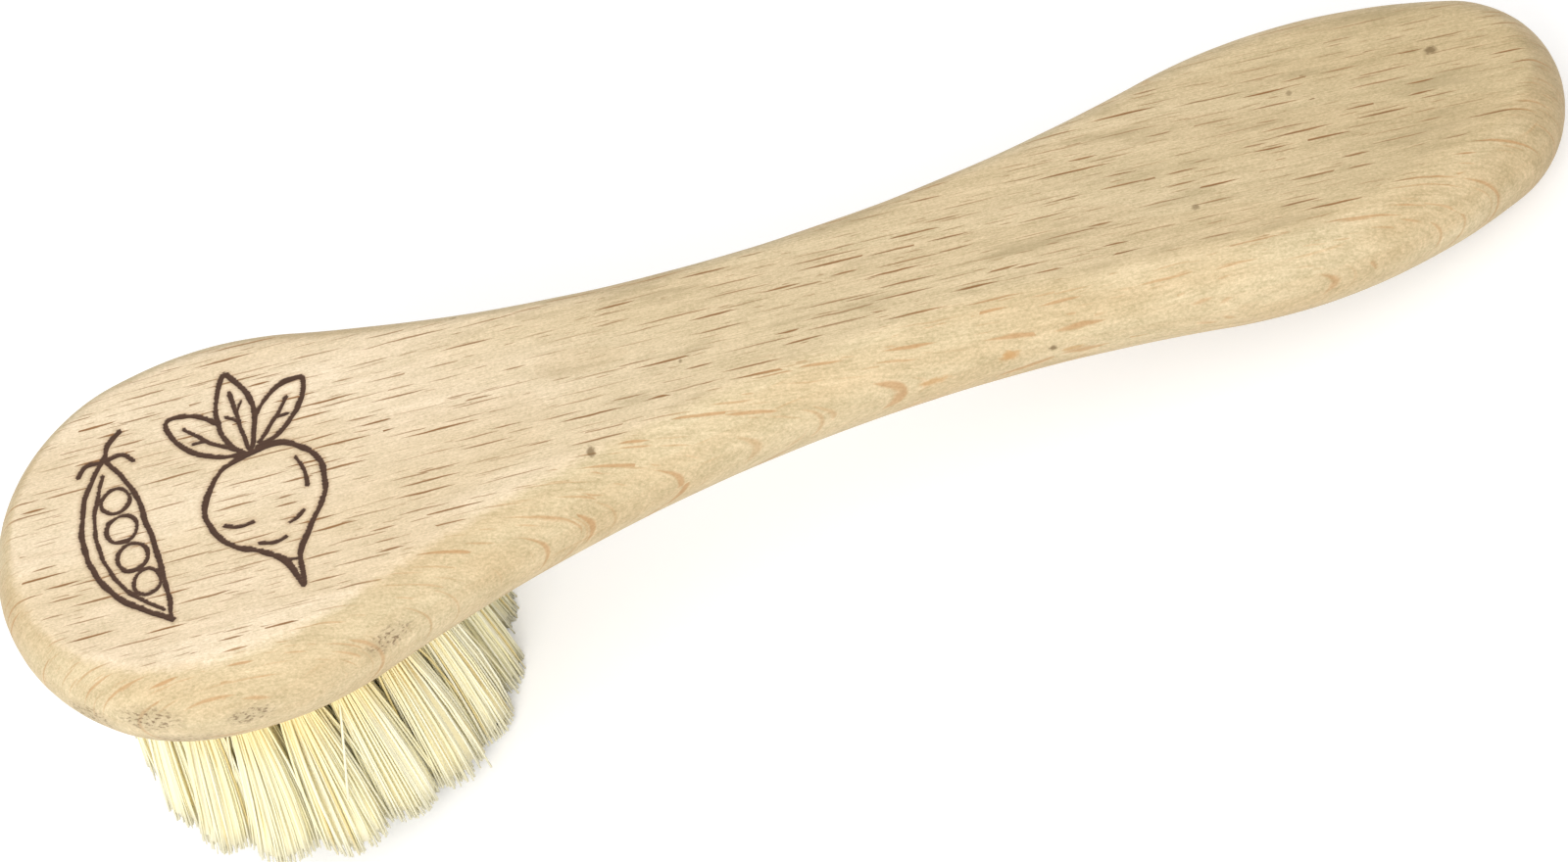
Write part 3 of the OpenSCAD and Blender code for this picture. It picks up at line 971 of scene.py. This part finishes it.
def leg_curves(wider, bent):
    """Start, bend and end of every fibre's two legs, outward and beside from the hole's axis."""
    k = np.arange(FIBRES) + 0.5
    r = ROOT_R * (k / FIBRES) ** CROWDING
    turn = np.pi * ((k * GOLDEN) % 1.0 - 0.5)
    u, v = np.maximum(r * np.cos(turn), SLOT), r * np.sin(turn)
    spread = TIP_SPREAD * wider / ROOT_R
    wisps = rng.uniform(-1, 1, (WISPS, 2)) * TIP_SPREAD * WISP_REACH
    legs = []
    for sign in (1, -1):
        start = np.stack([sign * u, v + rng.normal(0, ROOT_JITTER, FIBRES)], 1)
        end = start * spread * rng.uniform(*TIP_REACHES, (FIBRES, 1))
        end = end + rng.normal(0, TIP_JITTER, (FIBRES, 2))
        nearest = np.linalg.norm(end[:, None] - wisps[None], axis=2).argmin(1)
        end = end + (wisps[nearest] - end) * rng.uniform(0.0, WISP_PULL, (FIBRES, 1))
        stray = rng.random(FIBRES) < STRAYING
        end = end + stray[:, None] * rng.normal(0, STRAY_REACH, (FIBRES, 2)) + bent
        bend = start * (1 - BEND) + (end - bent) * BEND + rng.normal(0, BEND_JITTER, (FIBRES, 2))
        early = rng.random((FIBRES, 1)) < EARLY
        bend = np.where(early, (end - bent) * rng.uniform(*EARLY_REACHES, (FIBRES, 1)), bend)
        legs.append((start, bend, end))
    return legs


def lay_leg(hole, leg):
    """Points of every fibre's leg, from its tip to its root."""
    _, mouth, into, across, beside = hole
    start, bend, end = leg
    flat = curve(start[:, None], bend[:, None], end[:, None], LEG[None, :, None])
    down = LEG * (BRISTLE_L / into[2])
    place = mouth + flat[..., :1] * across + flat[..., 1:] * beside - down[None, :, None] * into
    # The tips are trimmed to one plane, a little raggedly
    trim = -BOARD_T - BRISTLE_L + np.abs(rng.normal(0, TRIM_JITTER, FIBRES))
    off = trim - place[:, 0, 2]
    return place + off[:, None, None] * (LEG[None, :, None] ** 2) * UP


def loose_strand(hole, start):
    """Points of the loose strand's leg, from its tip to its root."""
    _, mouth, into, across, beside = hole
    out, round_by = (start + (LOOSE_TIP - start) * LEG[:, None]).T[..., None]
    return mouth + out * across + round_by * beside - LOOSE_DOWN * LEG[:, None] * into


def lay_fold(hole, start_a, start_b):
    """Points of every fibre's fold over the anchor, from one leg's root to the other's."""
    _, mouth, into, across, beside = hole
    arch = np.minimum(np.abs(start_a[:, 0]), FOLD_ARCH)
    fold = []
    for a in FOLD:
        share = (1 - math.cos(a)) / 2
        flat = start_a * (1 - share) + start_b * share
        up = FOLD_AT - FOLD_BELOW + math.sin(a) * arch
        fold.append(mouth + flat[:, :1] * across + flat[:, 1:] * beside + up[:, None] * into)
    return np.stack(fold, 1)


def clear_of_ground(path):
    """The path, with each point that comes too near to the ground lifted along the board's z."""
    low = np.minimum(to_row(path)[..., 2], CLEARANCE) - CLEARANCE
    return path - UP * (low / math.cos(LEAN) * MM_IN_M)[..., None]


def strand_mesh(hole, path, along):
    """Points and faces of a four-sided strand along each path, thinner at its tips."""
    name, _, _, across, beside = hole
    count, steps = path.shape[:2]
    ahead = np.gradient(path, axis=1)
    ahead /= np.linalg.norm(ahead, axis=2)[..., None]
    side = np.cross(ahead, beside + 0.3 * across)
    side /= np.linalg.norm(side, axis=2)[..., None]
    other = np.cross(ahead, side)
    taper = 1 - THINNER_TIP + THINNER_TIP * (1 - along ** 3)
    size = FIBRE_R * rng.uniform(*THICKNESSES, (count, 1)) * taper
    if name == LOOSE_TUFT:
        size[0] *= LOOSE_THICKER
    roll = rng.uniform(0, math.pi, count)
    points = np.empty((count, steps, FIBRE_SIDES, 3))
    for j in range(FIBRE_SIDES):
        a = roll + 2 * math.pi * j / FIBRE_SIDES
        points[:, :, j] = path + size[..., None] * (
            np.cos(a)[:, None, None] * side + np.sin(a)[:, None, None] * other
        )
    faces = []
    for c in range(count):
        first = c * steps * FIBRE_SIDES
        last = first + (steps - 1) * FIBRE_SIDES
        for k in range(first, last, FIBRE_SIDES):
            faces += [(a, b, b + FIBRE_SIDES, a + FIBRE_SIDES) for a, b in circuit(k, FIBRE_SIDES)]
        faces.append(tuple(range(first + FIBRE_SIDES - 1, first - 1, -1)))
        faces.append(tuple(range(last, last + FIBRE_SIDES)))
    return points.reshape(-1, 3), faces


def build_tuft(hole, material):
    name, mouth = hole[:2]
    sway = (rng.normal(0, SWAY_OUT), rng.normal(0, SWAY_ROUND), 1.0)
    out_by, turn_by, wider = BENT.get(name, sway)
    reach = math.hypot(mouth[0] - FIELD_AT, mouth[1]) + BRISTLE_L * math.tan(math.radians(SPLAY))
    bent = np.array([out_by, math.radians(turn_by) * reach])
    legs = leg_curves(wider, bent)
    placed = [lay_leg(hole, leg) for leg in legs]
    starts = [start for start, _, _ in legs]
    if name == LOOSE_TUFT:
        placed[0][0] = loose_strand(hole, starts[0][0])
    path = np.concatenate([placed[0], lay_fold(hole, *starts), placed[1][:, ::-1]], 1)
    along = np.tile(np.concatenate([LEG, np.zeros(len(FOLD)), LEG[::-1]]), (FIBRES, 1))
    points, faces = strand_mesh(hole, clear_of_ground(path), along)
    tone = np.repeat(np.clip(rng.normal(*FIBRE_TONES, FIBRES), 0, 1), along.shape[1] * FIBRE_SIDES)
    # Painted shade, gold, on the inner tufts and the hearts, which lie deep between the others
    deep = np.full(len(points), 0.0 if "outer" in name else INNER_PAINTED_SHADE)
    heart, heart_faces, heart_along, heart_tone = packed_heart(hole, wider, bent)
    faces += [tuple(v + len(points) for v in f) for f in heart_faces]
    piece = make_piece(
        name.replace("tuft", "fibres"), np.concatenate([points, heart]), faces,
        material,
        [
            ("along", "FLOAT", np.concatenate([np.repeat(along.ravel(), FIBRE_SIDES), heart_along])),
            ("tone", "FLOAT", np.concatenate([tone, heart_tone])),
            ("depth", "FLOAT", np.concatenate([deep, np.full(len(heart), HEART_PAINTED_SHADE)])),
        ],
    )
    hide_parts(name)


# The floor, the light and the camera, in metres

FLOOR_HALF = 3.0
FLOOR_GREY = 0.8
FLOOR_GLOW = 0.3
SKY_BRIGHT_SIDE = (-0.75, -0.6, 0.28)
SKY_LEVEL = 0.96
SKY_CONTRAST = 0.22
KEY_AT = Vector((-0.11, -0.34, 0.28))
KEY_AIM = Vector((-0.03, 0, 0.01))
KEY_SIZE = 0.32
KEY_POWER = 0.8
KEY_COLOUR = (1, 0.985, 0.96)
WHITE = (1, 1, 1, 1)
# The camera's place and aim are in the brush's own frame, in millimetres. Its roll is in degrees.
CAMERA_AT = Vector((76.56, -202.53, 289.58))
CAMERA_AIM = Vector((68.31, -12.28, 0.0))
CAMERA_ROLL = -21.265
CAMERA_LENS = 96.48
CAMERA_SENSOR = 36
CAMERA_CLIP = (0.01, 20)


def build_floor():
    s = Shader(bpy.data.materials.new("studio_floor"))
    material = s.dress({
        "Base Color": (FLOOR_GREY, FLOOR_GREY, FLOOR_GREY, 1),
        "Roughness": 0.9,
        "Specular IOR Level": 0.0,
        "Emission Color": WHITE,
        "Emission Strength": s.math("MULTIPLY", s.seen(), FLOOR_GLOW),
    })
    mesh = bpy.data.meshes.new("floor")
    r = FLOOR_HALF
    mesh.from_pydata([(-r, -r, 0), (r, -r, 0), (r, r, 0), (-r, r, 0)], [], [(0, 1, 2, 3)])
    mesh.materials.append(material)
    floor = bpy.data.objects.new("floor", mesh)
    bpy.context.scene.collection.objects.link(floor)


def build_sky():
    """White all round, and brighter at the left front, where the studio's light comes from."""
    s = Shader(bpy.data.worlds.new("studio"))
    toward = s.vector("DOT_PRODUCT", s.node("TexCoord").outputs["Generated"], SKY_BRIGHT_SIDE)
    light = s.math("MULTIPLY_ADD", toward, SKY_CONTRAST, SKY_LEVEL)
    seen = s.seen()
    light = s.math("MULTIPLY", light, s.math("SUBTRACT", 1.0, seen))
    bpy.context.scene.world = s.dress({"Color": WHITE, "Strength": s.math("ADD", light, seen)})


def build_key():
    data = bpy.data.lights.new("key", "AREA")
    data.shape = "DISK"
    data.size = KEY_SIZE
    data.energy = KEY_POWER
    data.color = KEY_COLOUR
    key = bpy.data.objects.new("key", data)
    key.location = KEY_AT
    key.rotation_euler = (KEY_AIM - KEY_AT).to_track_quat("-Z", "Y").to_euler()
    bpy.context.scene.collection.objects.link(key)


def build_camera():
    turn = TO_ROW.to_3x3().normalized()
    back = (CAMERA_AT - CAMERA_AIM).normalized()
    level = Vector((0, 0, 1)).cross(back).normalized()
    upright = back.cross(level)
    c, s = math.cos(math.radians(CAMERA_ROLL)), math.sin(math.radians(CAMERA_ROLL))
    right = level * c + upright * s
    up = upright * c - level * s
    axes = Matrix([turn @ right, turn @ up, turn @ back]).transposed().to_4x4()
    data = bpy.data.cameras.new("camera")
    data.sensor_width = CAMERA_SENSOR
    data.lens = CAMERA_LENS
    data.clip_start, data.clip_end = CAMERA_CLIP
    camera = bpy.data.objects.new("camera", data)
    camera.matrix_world = Matrix.Translation(TO_ROW @ CAMERA_AT) @ axes
    bpy.context.scene.collection.objects.link(camera)
    bpy.context.scene.camera = camera


build_board(wood_material())
fibre = fibre_material()
for hole in holes():
    build_tuft(hole, fibre)

anchors = frame["nodes"]["tuft_anchors"]
anchors.data.materials.clear()
anchors.data.materials.append(wire_material())

build_floor()
build_key()
build_sky()
bpy.context.scene.view_settings.view_transform = "Standard"
build_camera()
